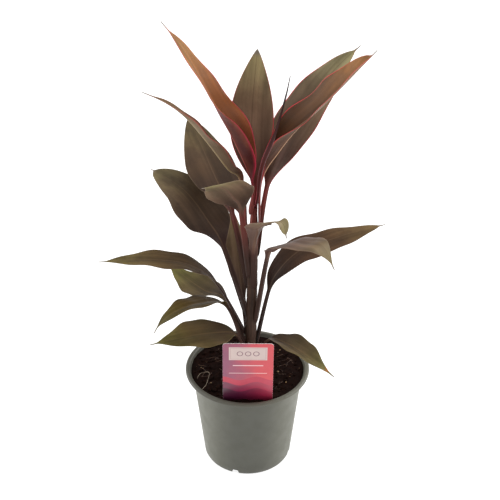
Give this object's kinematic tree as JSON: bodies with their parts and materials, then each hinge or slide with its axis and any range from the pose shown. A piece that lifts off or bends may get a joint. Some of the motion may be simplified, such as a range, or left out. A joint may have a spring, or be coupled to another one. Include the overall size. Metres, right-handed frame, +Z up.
{
  "type": "potted ti plant",
  "caption": "Upright ti plant with long-stalked, dark bronze leaves on a short cane, growing in a tapered nursery pot with a plant label.",
  "frame": {"origin": "centre of the pot's underside, on the surface that the pot stands on", "axes": "+Z up along the pot's axis, -Y towards the front that the label faces, +X to the right seen from the front"},
  "size_m": [0.267, 0.1956, 0.4582],
  "materials": {
    "pot_plastic": "grey-green moulded plastic, satin",
    "peat": "dark, damp, crumbly peat",
    "cane_bark": "smooth dark stem, reddish at the top",
    "bronze_leaf": "smooth bronze-green leaf, soft sheen",
    "copper_leaf": "smooth young copper leaf with a crimson edge",
    "label_card": "printed plastic card, satin"
  },
  "bodies": {
    "root": {"pot": "pot_plastic", "soil": "peat", "cane": "cane_bark", "label": "label_card", "spear_leaf": "bronze_leaf", "leaf_low_right": "bronze_leaf", "leaf_low_left": "bronze_leaf", "leaf_drooping_left": "bronze_leaf", "leaf_low_back": "bronze_leaf", "leaf_long_left": "bronze_leaf", "leaf_long_right": "bronze_leaf", "leaf_inner_back": "bronze_leaf", "leaf_mid_left": "bronze_leaf", "leaf_front_right": "bronze_leaf", "leaf_back_left": "bronze_leaf", "leaf_front_left": "bronze_leaf", "leaf_front": "bronze_leaf", "leaf_back_right": "bronze_leaf", "leaf_narrow_left": "bronze_leaf", "leaf_top_back": "bronze_leaf", "leaf_young_right": "copper_leaf", "leaf_young_left": "copper_leaf"}
  },
  "joints": []
}
